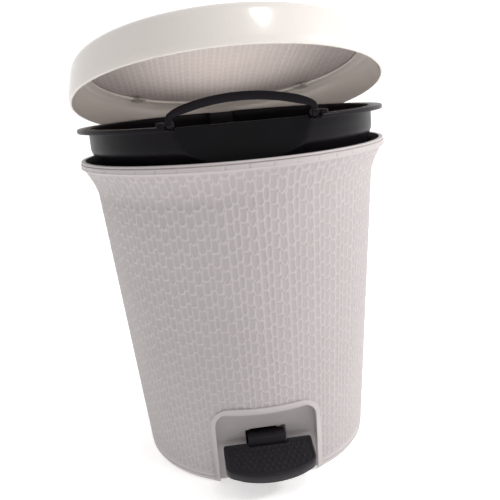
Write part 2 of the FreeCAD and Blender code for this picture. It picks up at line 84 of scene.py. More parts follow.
def ramp(nodes, links, source, low, high, low_at=0.35, high_at=0.65):
    """Map a grey value to a blend of two colours."""
    node = nodes.new("ShaderNodeValToRGB")
    node.color_ramp.elements[0].position = low_at
    node.color_ramp.elements[1].position = high_at
    node.color_ramp.elements[0].color = (*low, 1)
    node.color_ramp.elements[1].color = (*high, 1)
    links.new(source, node.inputs["Fac"])
    return node.outputs["Color"]


def spread(nodes, links, source, low, high):
    """Map a grey value to a range of numbers."""
    node = nodes.new("ShaderNodeMapRange")
    node.inputs["To Min"].default_value = low
    node.inputs["To Max"].default_value = high
    links.new(source, node.inputs["Value"])
    return node.outputs["Result"]


def bumps(nodes, links, shader, layers):
    """Stack bump nodes from (height source, strength, distance in metres)."""
    normal = None
    for source, strength, distance in layers:
        node = nodes.new("ShaderNodeBump")
        node.inputs["Strength"].default_value = strength
        node.inputs["Distance"].default_value = distance
        links.new(source, node.inputs["Height"])
        if normal is not None:
            links.new(normal, node.inputs["Normal"])
        normal = node.outputs["Normal"]
    links.new(normal, shader.inputs["Normal"])


def multiply(nodes, links, first, second):
    node = nodes.new("ShaderNodeMix")
    node.data_type = "RGBA"
    node.blend_type = "MULTIPLY"
    node.inputs["Factor"].default_value = 1.0
    links.new(first, node.inputs["A"])
    links.new(second, node.inputs["B"])
    return node.outputs["Result"]


WHITE = (1, 1, 1)
POCKET_PAINTED_SHADE = (0.52, 0.50, 0.505)    # painted shade: how much darker a pocket of the relief is painted than a crest
SPECK_SHADE = (0.90, 0.89, 0.88)
CLOUD_SCALE, SPECK_SCALE, PATCH_SCALE = 9, 900, 60      # noise: tone, specks and gloss
GRAIN_SCALE, WAVE_SCALE, FLOW_SCALE = 1800, 28, 40      # noise: skin grain, unevenness and flow lines
GRAIN_DEPTH, WAVE_DEPTH, FLOW_DEPTH = 0.00012, 0.0012, 0.0004


def moulded(name, light, dark, roughness, grain, coat=0.0, coat_roughness=0.1, specular=0.5, flow=0.0,
            relief=False):
    """Injection-moulded plastic: cloudy tone, fine skin grain, uneven gloss and faint flow lines; with
    relief, painted shade in the relief's pockets and painted highlights on its crests.
    """
    material, nodes, links, shader = new_material(name, light, roughness, specular, coat, coat_roughness)
    tone = ramp(nodes, links, noise(nodes, links, CLOUD_SCALE, 5), dark, light)
    # painted shade and highlight: the relief attribute darkens the pockets and lightens the crests
    if relief:
        attribute = nodes.new("ShaderNodeAttribute")
        attribute.attribute_name = "relief"
        shade = ramp(nodes, links, attribute.outputs["Fac"], POCKET_PAINTED_SHADE, WHITE, 0.0, 1.0)
        tone = multiply(nodes, links, tone, shade)
    specks = ramp(nodes, links, noise(nodes, links, SPECK_SCALE, 2), SPECK_SHADE, WHITE, 0.26, 0.36)
    links.new(multiply(nodes, links, tone, specks), shader.inputs["Base Color"])
    patches = noise(nodes, links, PATCH_SCALE, 6)
    links.new(spread(nodes, links, patches, roughness - 0.07, roughness + 0.09), shader.inputs["Roughness"])
    layers = [(noise(nodes, links, GRAIN_SCALE, 3), grain, GRAIN_DEPTH),
              (noise(nodes, links, WAVE_SCALE, 2), 0.10, WAVE_DEPTH)]
    if flow:
        layers.append((noise(nodes, links, FLOW_SCALE, 3, (1, 1, 0.08)), flow, FLOW_DEPTH))
    bumps(nodes, links, shader, layers)
    return material


# relief=True paints shade into the relief's pockets and highlights onto its crests
TEXTURED = moulded("textured_white", (0.565, 0.525, 0.525), (0.535, 0.496, 0.496), 0.44, 0.25,
                   specular=0.4, relief=True)
SMOOTH = moulded("smooth_white", (0.50, 0.465, 0.465), (0.475, 0.44, 0.44), 0.38, 0.2,
                specular=0.4, flow=0.15)
RIM = moulded("rim_white", (0.54, 0.50, 0.50), (0.50, 0.46, 0.46), 0.42, 0.3, specular=0.4)
GLOSS = moulded("gloss_white", (0.78, 0.735, 0.70), (0.755, 0.71, 0.675), 0.22, 0.06, 0.35, 0.05, flow=0.12)
BLACK = moulded("black_plastic", (0.023, 0.021, 0.025), (0.017, 0.0155, 0.0185), 0.46, 0.6, specular=0.16)
BUCKET = moulded("bucket_black", (0.0085, 0.007, 0.0095), (0.0055, 0.0045, 0.0065), 0.34, 0.25,
                 specular=0.12, flow=0.25)
# darker copy of the bucket's black for its flat front face: painted shade, and also a rougher finish
FACET_PAINTED_SHADE = moulded("bucket_facet_painted_shade", (0.005, 0.0045, 0.006), (0.003, 0.003, 0.004), 0.5, 0.25, specular=0.12)


def brushed(name):
    material, nodes, links, shader = new_material(name, (0.60, 0.60, 0.59), 0.3)
    shader.inputs["Metallic"].default_value = 1.0
    streaks = noise(nodes, links, 500, 3, (1, 1, 0.04))
    tone = ramp(nodes, links, streaks, (0.48, 0.48, 0.47), (0.68, 0.68, 0.66))
    links.new(tone, shader.inputs["Base Color"])
    links.new(spread(nodes, links, streaks, 0.22, 0.42), shader.inputs["Roughness"])
    bumps(nodes, links, shader, [(streaks, 0.2, 0.0001)])
    return material


STEEL = brushed("steel")


# ------------------------------------------------------------------ mesh helpers
def linked(name, mesh):
    item = bpy.data.objects.new(name, mesh)
    bpy.context.scene.collection.objects.link(item)
    return item


def smooth(mesh):
    mesh.polygons.foreach_set("use_smooth", [True] * len(mesh.polygons))


def mesh_object(name, points, faces, material):
    mesh = bpy.data.meshes.new(name)
    mesh.from_pydata([tuple(p) for p in points], [], faces)
    mesh.materials.append(material)
    smooth(mesh)
    mesh.update()
    return linked(name, mesh)


def object_from(work, name, material):
    """New object from a bmesh, which is freed."""
    mesh = bpy.data.meshes.new(name)
    work.to_mesh(mesh)
    work.free()
    mesh.materials.append(material)
    smooth(mesh)
    return linked(name, mesh)


@contextlib.contextmanager
def reworked(item):
    """The item's mesh as a bmesh, written back afterwards."""
    work = bmesh.new()
    work.from_mesh(item.data)
    yield work
    work.to_mesh(item.data)
    work.free()


def outward(item, hole_sides=0):
    """Fill holes of up to so many sides, and point all faces out of the closed mesh."""
    with reworked(item) as work:
        if hole_sides:
            bmesh.ops.holes_fill(work, edges=work.edges, sides=hole_sides)
        bmesh.ops.recalc_face_normals(work, faces=work.faces)
    return item


def drop_loose(work):
    bmesh.ops.delete(work, geom=[v for v in work.verts if not v.link_faces], context="VERTS")


def ring_faces(rows, columns, close_rows=True):
    """Quads of a grid whose columns always wrap round, and whose rows may."""
    last = rows if close_rows else rows - 1
    i, j = np.meshgrid(np.arange(last), np.arange(columns), indexing="ij")
    i, j = i.ravel(), j.ravel()
    i_next, j_next = (i + 1) % rows, (j + 1) % columns
    low, high = i * columns, i_next * columns
    return np.stack([low + j, low + j_next, high + j_next, high + j], 1)


EDGE_SHARE = 0.48             # most of an edge that a rounded corner takes up


def eased(points, radius, steps=4):
    """Closed outline with its corners rounded. A point may carry its own radius as a third number."""
    result = []
    count = len(points)
    for index, point in enumerate(points):
        here = np.array(point[:2], float)
        before = np.array(points[index - 1][:2], float)
        after = np.array(points[(index + 1) % count][:2], float)
        wanted = point[2] if len(point) > 2 else radius
        reach_in = min(wanted, EDGE_SHARE * np.linalg.norm(before - here))
        reach_out = min(wanted, EDGE_SHARE * np.linalg.norm(after - here))
        if wanted <= 0:
            result.append(here)
            continue
        start = here + (before - here) / np.linalg.norm(before - here) * reach_in
        end = here + (after - here) / np.linalg.norm(after - here) * reach_out
        for step in range(steps + 1):
            t = step / steps
            result.append((1 - t) ** 2 * start + 2 * t * (1 - t) * here + t * t * end)
    return np.array(result)


def revolve(name, outline, material, columns=192):
    """Closed ring turned from an outline of (radius, height) in mm."""
    angle = np.arange(columns) / columns * 2 * math.pi
    r, z = outline[:, 0] * MM, outline[:, 1] * MM
    points = np.stack([np.outer(r, np.sin(angle)), -np.outer(r, np.cos(angle)),
                       np.repeat(z[:, None], columns, 1)], -1)
    return outward(mesh_object(name, points.reshape(-1, 3), ring_faces(len(r), columns).tolist(), material))


def rounded_box(name, low, high, radius, material, segments=3):
    """Box between two corners with rounded edges, in mm."""
    work = bmesh.new()
    bmesh.ops.create_cube(work, size=1)
    low, high = [Vector([value * MM for value in corner]) for corner in (low, high)]
    for vertex in work.verts:
        vertex.co = Vector([(low[k] + high[k]) / 2 + vertex.co[k] * (high[k] - low[k]) for k in range(3)])
    bmesh.ops.bevel(work, geom=work.edges[:], offset=radius * MM, segments=segments, profile=0.6,
                    affect="EDGES")
    return object_from(work, name, material)


MERGE = 2e-6                  # metres between points that are one
FLAT_DEG, EDGE_DEG = 3, 35    # facets flatter than this are joined, edges sharper than this are rounded


def softened(node, name, material, width):
    """Copy of a CAD node with its sharp edges rounded by width in metres."""
    work = bmesh.new()
    work.from_mesh(NODES[node].data)
    bmesh.ops.remove_doubles(work, verts=work.verts, dist=MERGE)
    bmesh.ops.dissolve_limit(work, angle_limit=math.radians(FLAT_DEG), verts=work.verts, edges=work.edges)
    sharp = [e for e in work.edges
             if len(e.link_faces) == 2 and e.calc_face_angle(0) > math.radians(EDGE_DEG)]
    bmesh.ops.bevel(work, geom=sharp, offset=width, segments=3, profile=0.5, affect="EDGES",
                    clamp_overlap=True)
    item = object_from(work, name, material)
    shade_by_angle(item)
    return item


def shade_by_angle(item, angle_deg=30):
    smooth(item.data)
    item.data.set_sharp_from_angle(angle=math.radians(angle_deg))


def attach(item, body, slot, *nodes):
    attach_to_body(item, body)
    if nodes:
        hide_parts(*nodes)
    return item


# ------------------------------------------------------------------ leaf relief
UNITS_ROUND = 33
PITCH_TO_RADIUS = 0.0935      # height of a leaf row over the wall's radius there
UNIT_MM, PITCH_MM = 22.3, 10.95   # size of one unit and one row near the middle of the wall
CELL_U, CELL_V = 112, 56      # samples across and up one unit
SLOPE = 0.36                  # mm a leaf sinks over one row
STACKING = 0.80               # how quickly a leaf slips under its neighbours
LIP, LIP_AT, LIP_WIDTH = 0.46, 0.45, 0.42   # mm a leaf's thin outline stands up, its place and its width
DISH, RIB, RIB_WIDTH = 0.20, 0.12, 0.7      # mm a leaf's middle sinks, and its middle rib rises
POCKET = -0.34                # mm between leaves
BLUR = 0.17                   # mm
LEAF_PAINTED_LIGHT, CREST_PAINTED_HIGHLIGHT, PLAIN_PAINTED_LIGHT = 0.55, 0.45, 0.9   # painted light level: painted shade on a leaf, painted highlight added on its crest, and the level on smooth wall
LEAVES = (                    # centre, half width, bottom, rounding, power, layer
    (0.00, 0.185, 0.00, 0.62, 1.55, 0.30),
    (0.29, 0.160, 0.32, 0.42, 2.0, 0.10),
    (0.71, 0.160, 0.32, 0.42, 2.0, 0.10),
    (0.50, 0.130, 0.60, 0.36, 1.8, -0.06),
)


def leaf_height(x, t, width, rounding, power, layer):
    """One leaf's height in mm, nearness to its crest, place in the stack, and whether the point is on it.

    x is in units from the leaf's middle, t in rows above its bottom."""
    side = np.clip(1 - t / rounding, 0, 1)
    half = width * (1 - side ** power) ** (1 / power)
    half = half * (1 - 0.45 * np.clip((t - 0.5) / 0.8, 0, 1) ** 2)
    across = np.clip(half - np.abs(x), 0, None) * UNIT_MM
    reach = np.clip(1 - (np.abs(x) / width) ** power, 0, 1) ** (1 / power)
    up = np.clip(t - rounding * (1 - reach), 0, None) * PITCH_MM
    edge = across * up / np.sqrt(across ** 2 + up ** 2 + 1e-9)
    inside = (np.abs(x) < half) & (t > 0) & (up > 0)
    crest = np.exp(-((edge - LIP_AT) / LIP_WIDTH) ** 2)
    dish = -DISH * np.clip((edge - 0.7) / 1.6, 0, 1)
    rib = RIB * np.exp(-(x * UNIT_MM / RIB_WIDTH) ** 2) * np.clip((edge - 0.9) / 0.6, 0, 1)
    return 0.5 * layer - SLOPE * t + LIP * crest + dish + rib, crest, layer - STACKING * t, inside


def leaf_cell():
    """One unit of the relief, repeating both ways: height in mm, and painted light level (0 for painted shade
    in pockets, 1 for painted highlight on crests).
    """
    u = (np.arange(CELL_U) + 0.5) / CELL_U
    v = (np.arange(CELL_V) + 0.5) / CELL_V
    u, v = np.meshgrid(u, v)
    height = np.full(u.shape, POCKET)
    # tone is the painted light level: 0 is painted shade in the pockets, crests get painted highlights
    tone = np.zeros(u.shape)
    top = np.full(u.shape, -np.inf)
    for centre, width, bottom, rounding, power, layer in LEAVES:
        x = (u - centre + 0.5) % 1 - 0.5
        first = (v - bottom) % 1
        for row in (0, 1):
            leaf, crest, order, inside = leaf_height(x, first + row, width, rounding, power, layer)
            above = inside & (order > top)
            top = np.where(above, order, top)
            height = np.where(above, leaf, height)
            tone = np.where(above, LEAF_PAINTED_LIGHT + CREST_PAINTED_HIGHLIGHT * crest, tone)
    soft_u = np.fft.fftfreq(CELL_U, 1 / CELL_U) / UNIT_MM
    soft_v = np.fft.fftfreq(CELL_V, 1 / CELL_V) / PITCH_MM
    blur = np.exp(-2 * (math.pi * BLUR) ** 2 * (soft_u[None, :] ** 2 + soft_v[:, None] ** 2))
    height, tone = [np.fft.ifft2(np.fft.fft2(grid) * blur).real for grid in (height, tone)]
    return height - height.mean(), tone


CELL, RELIEF_PAINTED_LIGHT = leaf_cell()


def relief(u, v, cell=CELL):
    """Leaf relief in mm, or its painted light level, at u units across and v rows up."""
    x = (np.asarray(u) % 1) * CELL_U - 0.5
    y = (np.asarray(v) % 1) * CELL_V - 0.5
    x0, y0 = np.floor(x).astype(int), np.floor(y).astype(int)
    fx, fy = x - x0, y - y0
    x1, y1 = (x0 + 1) % CELL_U, (y0 + 1) % CELL_V
    x0, y0 = x0 % CELL_U, y0 % CELL_V
    low = cell[y0, x0] * (1 - fx) + cell[y0, x1] * fx
    high = cell[y1, x0] * (1 - fx) + cell[y1, x1] * fx
    return low * (1 - fy) + high * fy


def painted_light_level(u, v, fade):
    """The relief's painted light level (painted shade and highlight) where fade is 1, and the plain wall's
    where it is 0.
    """
    return PLAIN_PAINTED_LIGHT + (relief(u, v, RELIEF_PAINTED_LIGHT) - PLAIN_PAINTED_LIGHT) * fade


def store_painted_light(item, tones):
    """Store the relief's painted shade and highlight level for the material to read."""
    attribute = item.data.attributes.new("relief", "FLOAT", "POINT")
    attribute.data.foreach_set("value", tones.ravel().astype(np.float32))


# ------------------------------------------------------------------ body shell
BODY_LOW, BODY_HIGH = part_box("outer_body")
RIM_R = BODY_HIGH.x / MM
RIM_TOP = BODY_HIGH.z / MM
WALL_LOW = BODY_LOW.z / MM
BAND_LOW = RIM_TOP - 6.6      # underside of the smooth band at the rim
NECK_R, COLLAR_R, NECK_DROP, FOOT_R = 122.4, 132.4, 35.0, 104.3
COLLAR_DROP = RIM_TOP - BAND_LOW
NICHE_HALF, NICHE_TOP, NICHE_CORNER = 43.0, 71.0, 14.0
NICHE_ROOM = 2.5              # how far outside the niche's outline the wall is cut away
WALL = 2.2
MOUTH_R = 130.5               # inside of the rim
COLUMNS_PER_UNIT, ROWS_PER_LEAF = 28, 14
LEAF_START = RIM_TOP - 51.3   # height at which a row of leaves begins
BEAD_UP, BEAD_RISE, BEAD_WIDTH = 2.7, 0.45, 0.6   # bead round the smooth strip at the foot
TICKS, TICK_DEPTH, TICK_WIDTH = 48, 0.7, 0.45     # short grooves across the band


def wall_radius(z):
    """Outside radius of the body's wall in mm."""
    neck = RIM_TOP - NECK_DROP
    share = np.clip((z - neck) / (NECK_DROP - COLLAR_DROP), 0, 1)
    cone = FOOT_R + (NECK_R - FOOT_R) * (z - WALL_LOW) / (neck - WALL_LOW)
    flared = NECK_R + (COLLAR_R - NECK_R) * (1 - np.cos(share * math.pi / 2))
    return np.where(z < neck, cone, flared)


def niche_cover(points, grow):
    """True inside the pedal niche's rounded outline, grown by so many mm, on the front."""
    half, top, corner = NICHE_HALF + grow, NICHE_TOP + grow, NICHE_CORNER + grow
    x, y, z = np.abs(points[..., 0]), points[..., 1], points[..., 2]
    past_x, past_z = x - (half - corner), z - (top - corner)
    in_corner = (past_x > 0) & (past_z > 0)
    inside = (x < half) & (z < top)
    inside &= ~in_corner | (past_x ** 2 + past_z ** 2 < corner ** 2)
    return inside & (y < 0)


def leaf_rows():
    """Heights of the wall's rows of points in mm, and how many leaf rows up each one is."""
    heights = [WALL_LOW]
    while heights[-1] < BAND_LOW - 0.4:
        heights.append(heights[-1] + PITCH_TO_RADIUS * float(wall_radius(heights[-1])) / ROWS_PER_LEAF)
    heights = np.array(heights) * (BAND_LOW - WALL_LOW) / (heights[-1] - WALL_LOW)
    heights += WALL_LOW - heights[0]
    radii = wall_radius(heights)
    steps = np.diff(heights) / (PITCH_TO_RADIUS * (radii[1:] + radii[:-1]) / 2)
    rows_up = np.concatenate([[0], np.cumsum(steps)])
    return heights, rows_up - np.interp(LEAF_START, heights, rows_up)


def rim_outline():
    """Smooth band with its foot bead and its groove, over the top and down to the collar's inside."""
    return eased([
        (COLLAR_R, BAND_LOW, 0), (RIM_R - 0.6, BAND_LOW, 0.4), (RIM_R, BAND_LOW + 0.9, 0.4),
        (RIM_R - 0.4, BAND_LOW + 1.4, 0.3), (RIM_R - 0.4, RIM_TOP - 2.4, 0.2),
        (RIM_R - 1.6, RIM_TOP - 2.2, 0.2), (RIM_R - 1.6, RIM_TOP - 1.7, 0.2),
        (RIM_R - 0.8, RIM_TOP - 1.5, 0.3), (RIM_R - 1.0, RIM_TOP, 0.6),
        (MOUTH_R, RIM_TOP, 0.6), (MOUTH_R, BAND_LOW + 0.6, 0.6)], 0.3)


def body_shell():
    columns = UNITS_ROUND * COLUMNS_PER_UNIT
    turn = np.arange(columns) / columns * 2 * math.pi
    heights, rows_up = leaf_rows()
    radii = wall_radius(heights)
    u, v = np.meshgrid(turn / (2 * math.pi) * UNITS_ROUND, rows_up)
    fade_low = np.clip((heights - WALL_LOW - 3.4) / 1.6, 0, 1)
    fade_high = np.clip((BAND_LOW - 0.4 - heights) / 1.6, 0, 1)
    fade = (fade_low * fade_high)[:, None]
    bead = BEAD_RISE * np.exp(-((heights - WALL_LOW - BEAD_UP) / BEAD_WIDTH) ** 2)
    radius = radii[:, None] + relief(u, v) * fade + bead[:, None]
    wall = np.stack([radius, np.repeat(heights[:, None], columns, 1)], -1)

    inner = np.stack([radii - WALL, heights], -1)[::-24]
    foot = np.array([[float(wall_radius(WALL_LOW)) - WALL, WALL_LOW]])
    rest = np.concatenate([rim_outline()[1:], inner[1:], foot])
    rest_grid = np.repeat(rest[:, None, :], columns, 1)
    tick = turn / (2 * math.pi) * TICKS
    off = np.abs(tick - np.round(tick)) / TICKS * 2 * math.pi * RIM_R
    on_band = (rest[:, 0] > RIM_R - 0.9) & (rest[:, 1] > BAND_LOW + 0.95) & (rest[:, 1] < RIM_TOP - 2.3)
    rest_grid[on_band, :, 0] -= TICK_DEPTH * np.exp(-(off / TICK_WIDTH) ** 2)

    grid = np.concatenate([wall, rest_grid])
    radius, z = grid[..., 0], grid[..., 1]
    points = np.stack([radius * np.sin(turn), -radius * np.cos(turn), z], -1).reshape(-1, 3)
    faces = ring_faces(len(grid), columns)
    faces = faces[~niche_cover(points[faces].mean(1), NICHE_ROOM)]
    item = mesh_object("body_shell", points * MM, faces.tolist(), TEXTURED)
    item.data.materials.append(RIM)
    # painted light level: relief's painted shade and highlights on the wall, a plain level on the rim rows
    plain = np.full(len(rest) * columns, PLAIN_PAINTED_LIGHT)
    store_painted_light(item, np.concatenate([painted_light_level(u, v, fade).ravel(), plain]))
    on_rim = faces[:, 0] // columns >= len(heights) - 1
    item.data.polygons.foreach_set("material_index", on_rim.astype(np.int32))
    with reworked(item) as work:
        drop_loose(work)
        bmesh.ops.bridge_loops(work, edges=[e for e in work.edges if len(e.link_faces) == 1])
        bmesh.ops.recalc_face_normals(work, faces=work.faces)
    return item


attach(body_shell(), "body", "textured_white", "outer_body")


# ------------------------------------------------------------------ base: softened niche, lip and bottom band
LIP_FRONT, LIP_FOOT = -88, 7      # the lip lies in front of this y and above this z
LIP_LEAST, LIP_SLIMMED = 3.2, 1.2     # points farther out than the first are moved in by the second


def slim_lip(item):
    """Draw the niche's outer outline inwards so that its lip is narrower."""
    for vertex in item.data.vertices:
        x, y, z = vertex.co / MM
        past_x, past_z = abs(x) - (NICHE_HALF - NICHE_CORNER), z - (NICHE_TOP - NICHE_CORNER)
        if y > LIP_FRONT or z < LIP_FOOT:
            continue
        if past_x > 0 and past_z > 0:
            reach = math.hypot(past_x, past_z)
            beyond, side, up = reach - NICHE_CORNER, past_x / reach, past_z / reach
        elif past_z > 0:
            beyond, side, up = z - NICHE_TOP, 0, 1
        else:
            beyond, side, up = abs(x) - NICHE_HALF, 1, 0
        if beyond > LIP_LEAST:
            vertex.co.x -= math.copysign(side * LIP_SLIMMED, x) * MM
            vertex.co.z -= up * LIP_SLIMMED * MM
    return item


attach(slim_lip(softened("base", "base_and_niche", SMOOTH, 0.0013)), "body", "smooth_white", "base")


# ------------------------------------------------------------------ lid, built shut, then swung open
HINGE = next(j for j in frame["joints"] if j["name"] == "lid_hinge")
HINGE_POINT = Vector(HINGE["pos_m"])
OPEN_DEG = -HINGE["range_deg"][0]
LID_Z = HINGE["pos_m"][2] / MM
LID_R = 137.8
PANEL_R = 120.6
HINGE_GAP_HALF, HINGE_GAP_UP, HINGE_GAP_BACK = 11.9, 8, 120   # notch in the skirt for the hinge arm
PANEL_UP, PANEL_DOME, PANEL_THICK = 31.2, 9.0, 1.7
PANEL_STEP = 0.92             # spacing of the panel's points
PANEL_UNIT, PANEL_PITCH = 22.0, 10.8      # size of the panel's units and rows
PANEL_RELIEF = 0.85           # depth of its relief over the body's
OPENED = (Matrix.Translation(HINGE_POINT)
          @ Matrix.Rotation(math.radians(OPEN_DEG), 4, Vector(HINGE["axis"]))
          @ Matrix.Translation(-HINGE_POINT))


def swing_open(item):
    item.data.transform(OPENED)
    item.data.update()
    return item


def lid_ring():
    outline = eased([
        (LID_R - 0.4, 0, 0.5), (LID_R, 1.2, 0.5), (LID_R + 0.2, 5, 2.5), (LID_R - 1.2, 14, 4),
        (LID_R - 2.6, 22, 4), (LID_R - 4.0, 28, 1.8), (LID_R - 6.3, 31.7, 1.8), (LID_R - 10.5, 33.1, 1.8),
        (PANEL_R + 4.0, 33.4, 0.6), (PANEL_R + 3.0, 32.6, 0.3), (PANEL_R + 3.0, 29.05, 0),
        (PANEL_R, 29.05, 0.3), (PANEL_R, 27.2, 0.4), (PANEL_R + 7, 27.0, 3.0), (LID_R - 6.4, 24.5, 2.5),
        (LID_R - 4.9, 20, 3), (LID_R - 3.5, 13, 4), (LID_R - 2.2, 5, 2.5), (LID_R - 2.0, 0, 0.5)], 0.5)
    item = revolve("lid_ring_skin", outline + [0, LID_Z], GLOSS, 256)
    for vertex in item.data.vertices:
        x, y, z = vertex.co / MM
        if abs(x) < HINGE_GAP_HALF and y > HINGE_GAP_BACK and z < LID_Z + HINGE_GAP_UP:
            vertex.co.z = (LID_Z + HINGE_GAP_UP) * MM
    return swing_open(item)


attach(lid_ring(), "lid", "gloss_white", "lid_ring")


def dome(radius):
    """Height of the panel's crown above its rim, in mm."""
    return PANEL_DOME * (1 - np.clip(radius / PANEL_R, 0, 1) ** 2)


def lid_panel():
    """Square grid with its outermost points pulled in to the panel's edge, given its thickness."""
    edge = PANEL_R + 2.6
    count = int(edge / PANEL_STEP) + 1
    axis = np.arange(-count, count + 1) * PANEL_STEP
    x, y = np.meshgrid(axis, axis)
    distance = np.hypot(x, y)
    beyond = distance > edge
    pull = np.where(beyond, edge / np.maximum(distance, 1), 1)
    x, y = x * pull, y * pull
    radius = np.minimum(distance, edge)
    fade = np.clip((PANEL_R - 1.0 - radius) / 1.5, 0, 1)
    u, v = x / PANEL_UNIT + 0.5, y / PANEL_PITCH
    z = LID_Z + PANEL_UP + dome(radius) + relief(u, v) * PANEL_RELIEF * fade
    side = len(axis)
    index = np.arange(side * side).reshape(side, side)
    quads = np.stack([index[:-1, :-1], index[:-1, 1:], index[1:, 1:], index[1:, :-1]], -1).reshape(-1, 4)
    keep = (~beyond).ravel()[quads].sum(1) >= 2
    points = np.stack([x, y, z], -1).reshape(-1, 3) * MM
    item = mesh_object("lid_panel_skin", points, quads[keep].tolist(), TEXTURED)
    # painted shade in the panel relief's pockets, painted highlights on its crests
    store_painted_light(item, painted_light_level(u, v, fade))
    with reworked(item) as work:
        drop_loose(work)
    solid = item.modifiers.new("thickness", "SOLIDIFY")
    solid.thickness = PANEL_THICK * MM
    solid.offset = 0
    return swing_open(item)


attach(lid_panel(), "lid", "textured_white", "lid_panel")


def panel_clips(count=4):
    """Tabs on the ledge that hold the panel, each with a rounded nose."""
    clips = []
    for number in range(count):
        clip = rounded_box(f"panel_clip_{number}", [PANEL_R - 9, -5, LID_Z + 25.4],
                           [PANEL_R + 4, 5, LID_Z + 27], 0.6, SMOOTH)
        clip.data.transform(Matrix.Rotation(math.radians(45 + 360 / count * number), 4, "Z"))
        clips.append(swing_open(clip))
    for clip in clips[1:]:
        attach(clip, "lid", "smooth_white")
    attach(clips[0], "lid", "smooth_white", "panel_clips")


panel_clips()
attach(softened("hinge_arm", "hinge_arm_soft", SMOOTH, 0.0006), "lid", "smooth_white", "hinge_arm")
attach(softened("hinge_bracket", "hinge_bracket_soft", SMOOTH, 0.0009),
       "body", "smooth_white", "hinge_bracket")


# ------------------------------------------------------------------ bucket
BUCKET_LOW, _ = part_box("inner_bucket")
SWING = next(j for j in frame["joints"] if j["name"] == "handle_swing")
PIVOT_Y, PIVOT_Z = SWING["pos_m"][1] / MM, SWING["pos_m"][2] / MM
FLANGE_TOP = PIVOT_Z - 1.1
FLANGE_LOW, FLANGE_R = FLANGE_TOP - 3.5, 134
BUCKET_FLOOR, FLOOR_R, FLOOR_THICK = BUCKET_LOW.z / MM, 103, 2.2
BUCKET_WALL = 2.0
STEPS = (                     # radius, drop below the flange outside and inside, corner radius
    (124.5, 16, 16.5, 3), (121.4, 22, 22, 3), (119.0, 28, 28, 3), (117.4, 38, 38, 4),
)
FACE_OUT, FACE_LEAN, FACE_HALF = 113.4, math.radians(8), 55.5    # flat front, at the flange's top
GROOVE_OUT, GROOVE_LEAN = 110, math.radians(4.42)     # rear groove for the rod, at the flange's top
GROOVE_HALF = (12.0, 14.0)    # its half width outside and inside
REAR_OUT = 127                # flat at the rear of the flange
DIP_HALF, EYE_FROM = 57.2, 48.6       # the flange is lowered out to the first, and more from the second
FRONT_DIP, EYE_DIP = 1.2, 2.1
NEAR_AXIS = 60                # points nearer the axis than this are floor, not wall
FAR = 999


def smooth_min(a, b, width):
    """Smaller of two, rounded where they cross."""
    mix = np.clip(0.5 + 0.5 * (b - a) / width, 0, 1)
    return b * (1 - mix) + a * mix - width * mix * (1 - mix)


def step_down(past, width):
    """Smooth step from 0 to 1 over so many mm."""
    share = np.clip(past / width, 0, 1)
    return share * share * (3 - 2 * share)


def bucket_outline():
    """Points about 2.5 mm apart up the outside, over the flange and down the inside."""
    outline = [(0.001, BUCKET_FLOOR, 0), (FLOOR_R, BUCKET_FLOOR, 5)]
    outline += [(r, FLANGE_LOW - drop, corner) for r, drop, _, corner in STEPS[::-1]]
    outline += [(124.5, FLANGE_LOW, 0.6), (FLANGE_R, FLANGE_LOW, 0.7), (FLANGE_R, FLANGE_TOP, 1.2),
                (122.5, FLANGE_TOP, 1.4)]
    outline += [(r - BUCKET_WALL, FLANGE_LOW - drop, corner) for r, _, drop, corner in STEPS]
    outline += [(FLOOR_R - 1.8, BUCKET_FLOOR + FLOOR_THICK, 5), (0.001, BUCKET_FLOOR + FLOOR_THICK, 0)]
    path = eased(outline, 1.0, 5)
    dense = [path[0]]
    for here, there in zip(path[:-1], path[1:]):
        pieces = max(1, int(np.linalg.norm(there - here) / 2.5))
        dense += [here + (there - here) * piece / pieces for piece in range(1, pieces + 1)]
    return np.array(dense)


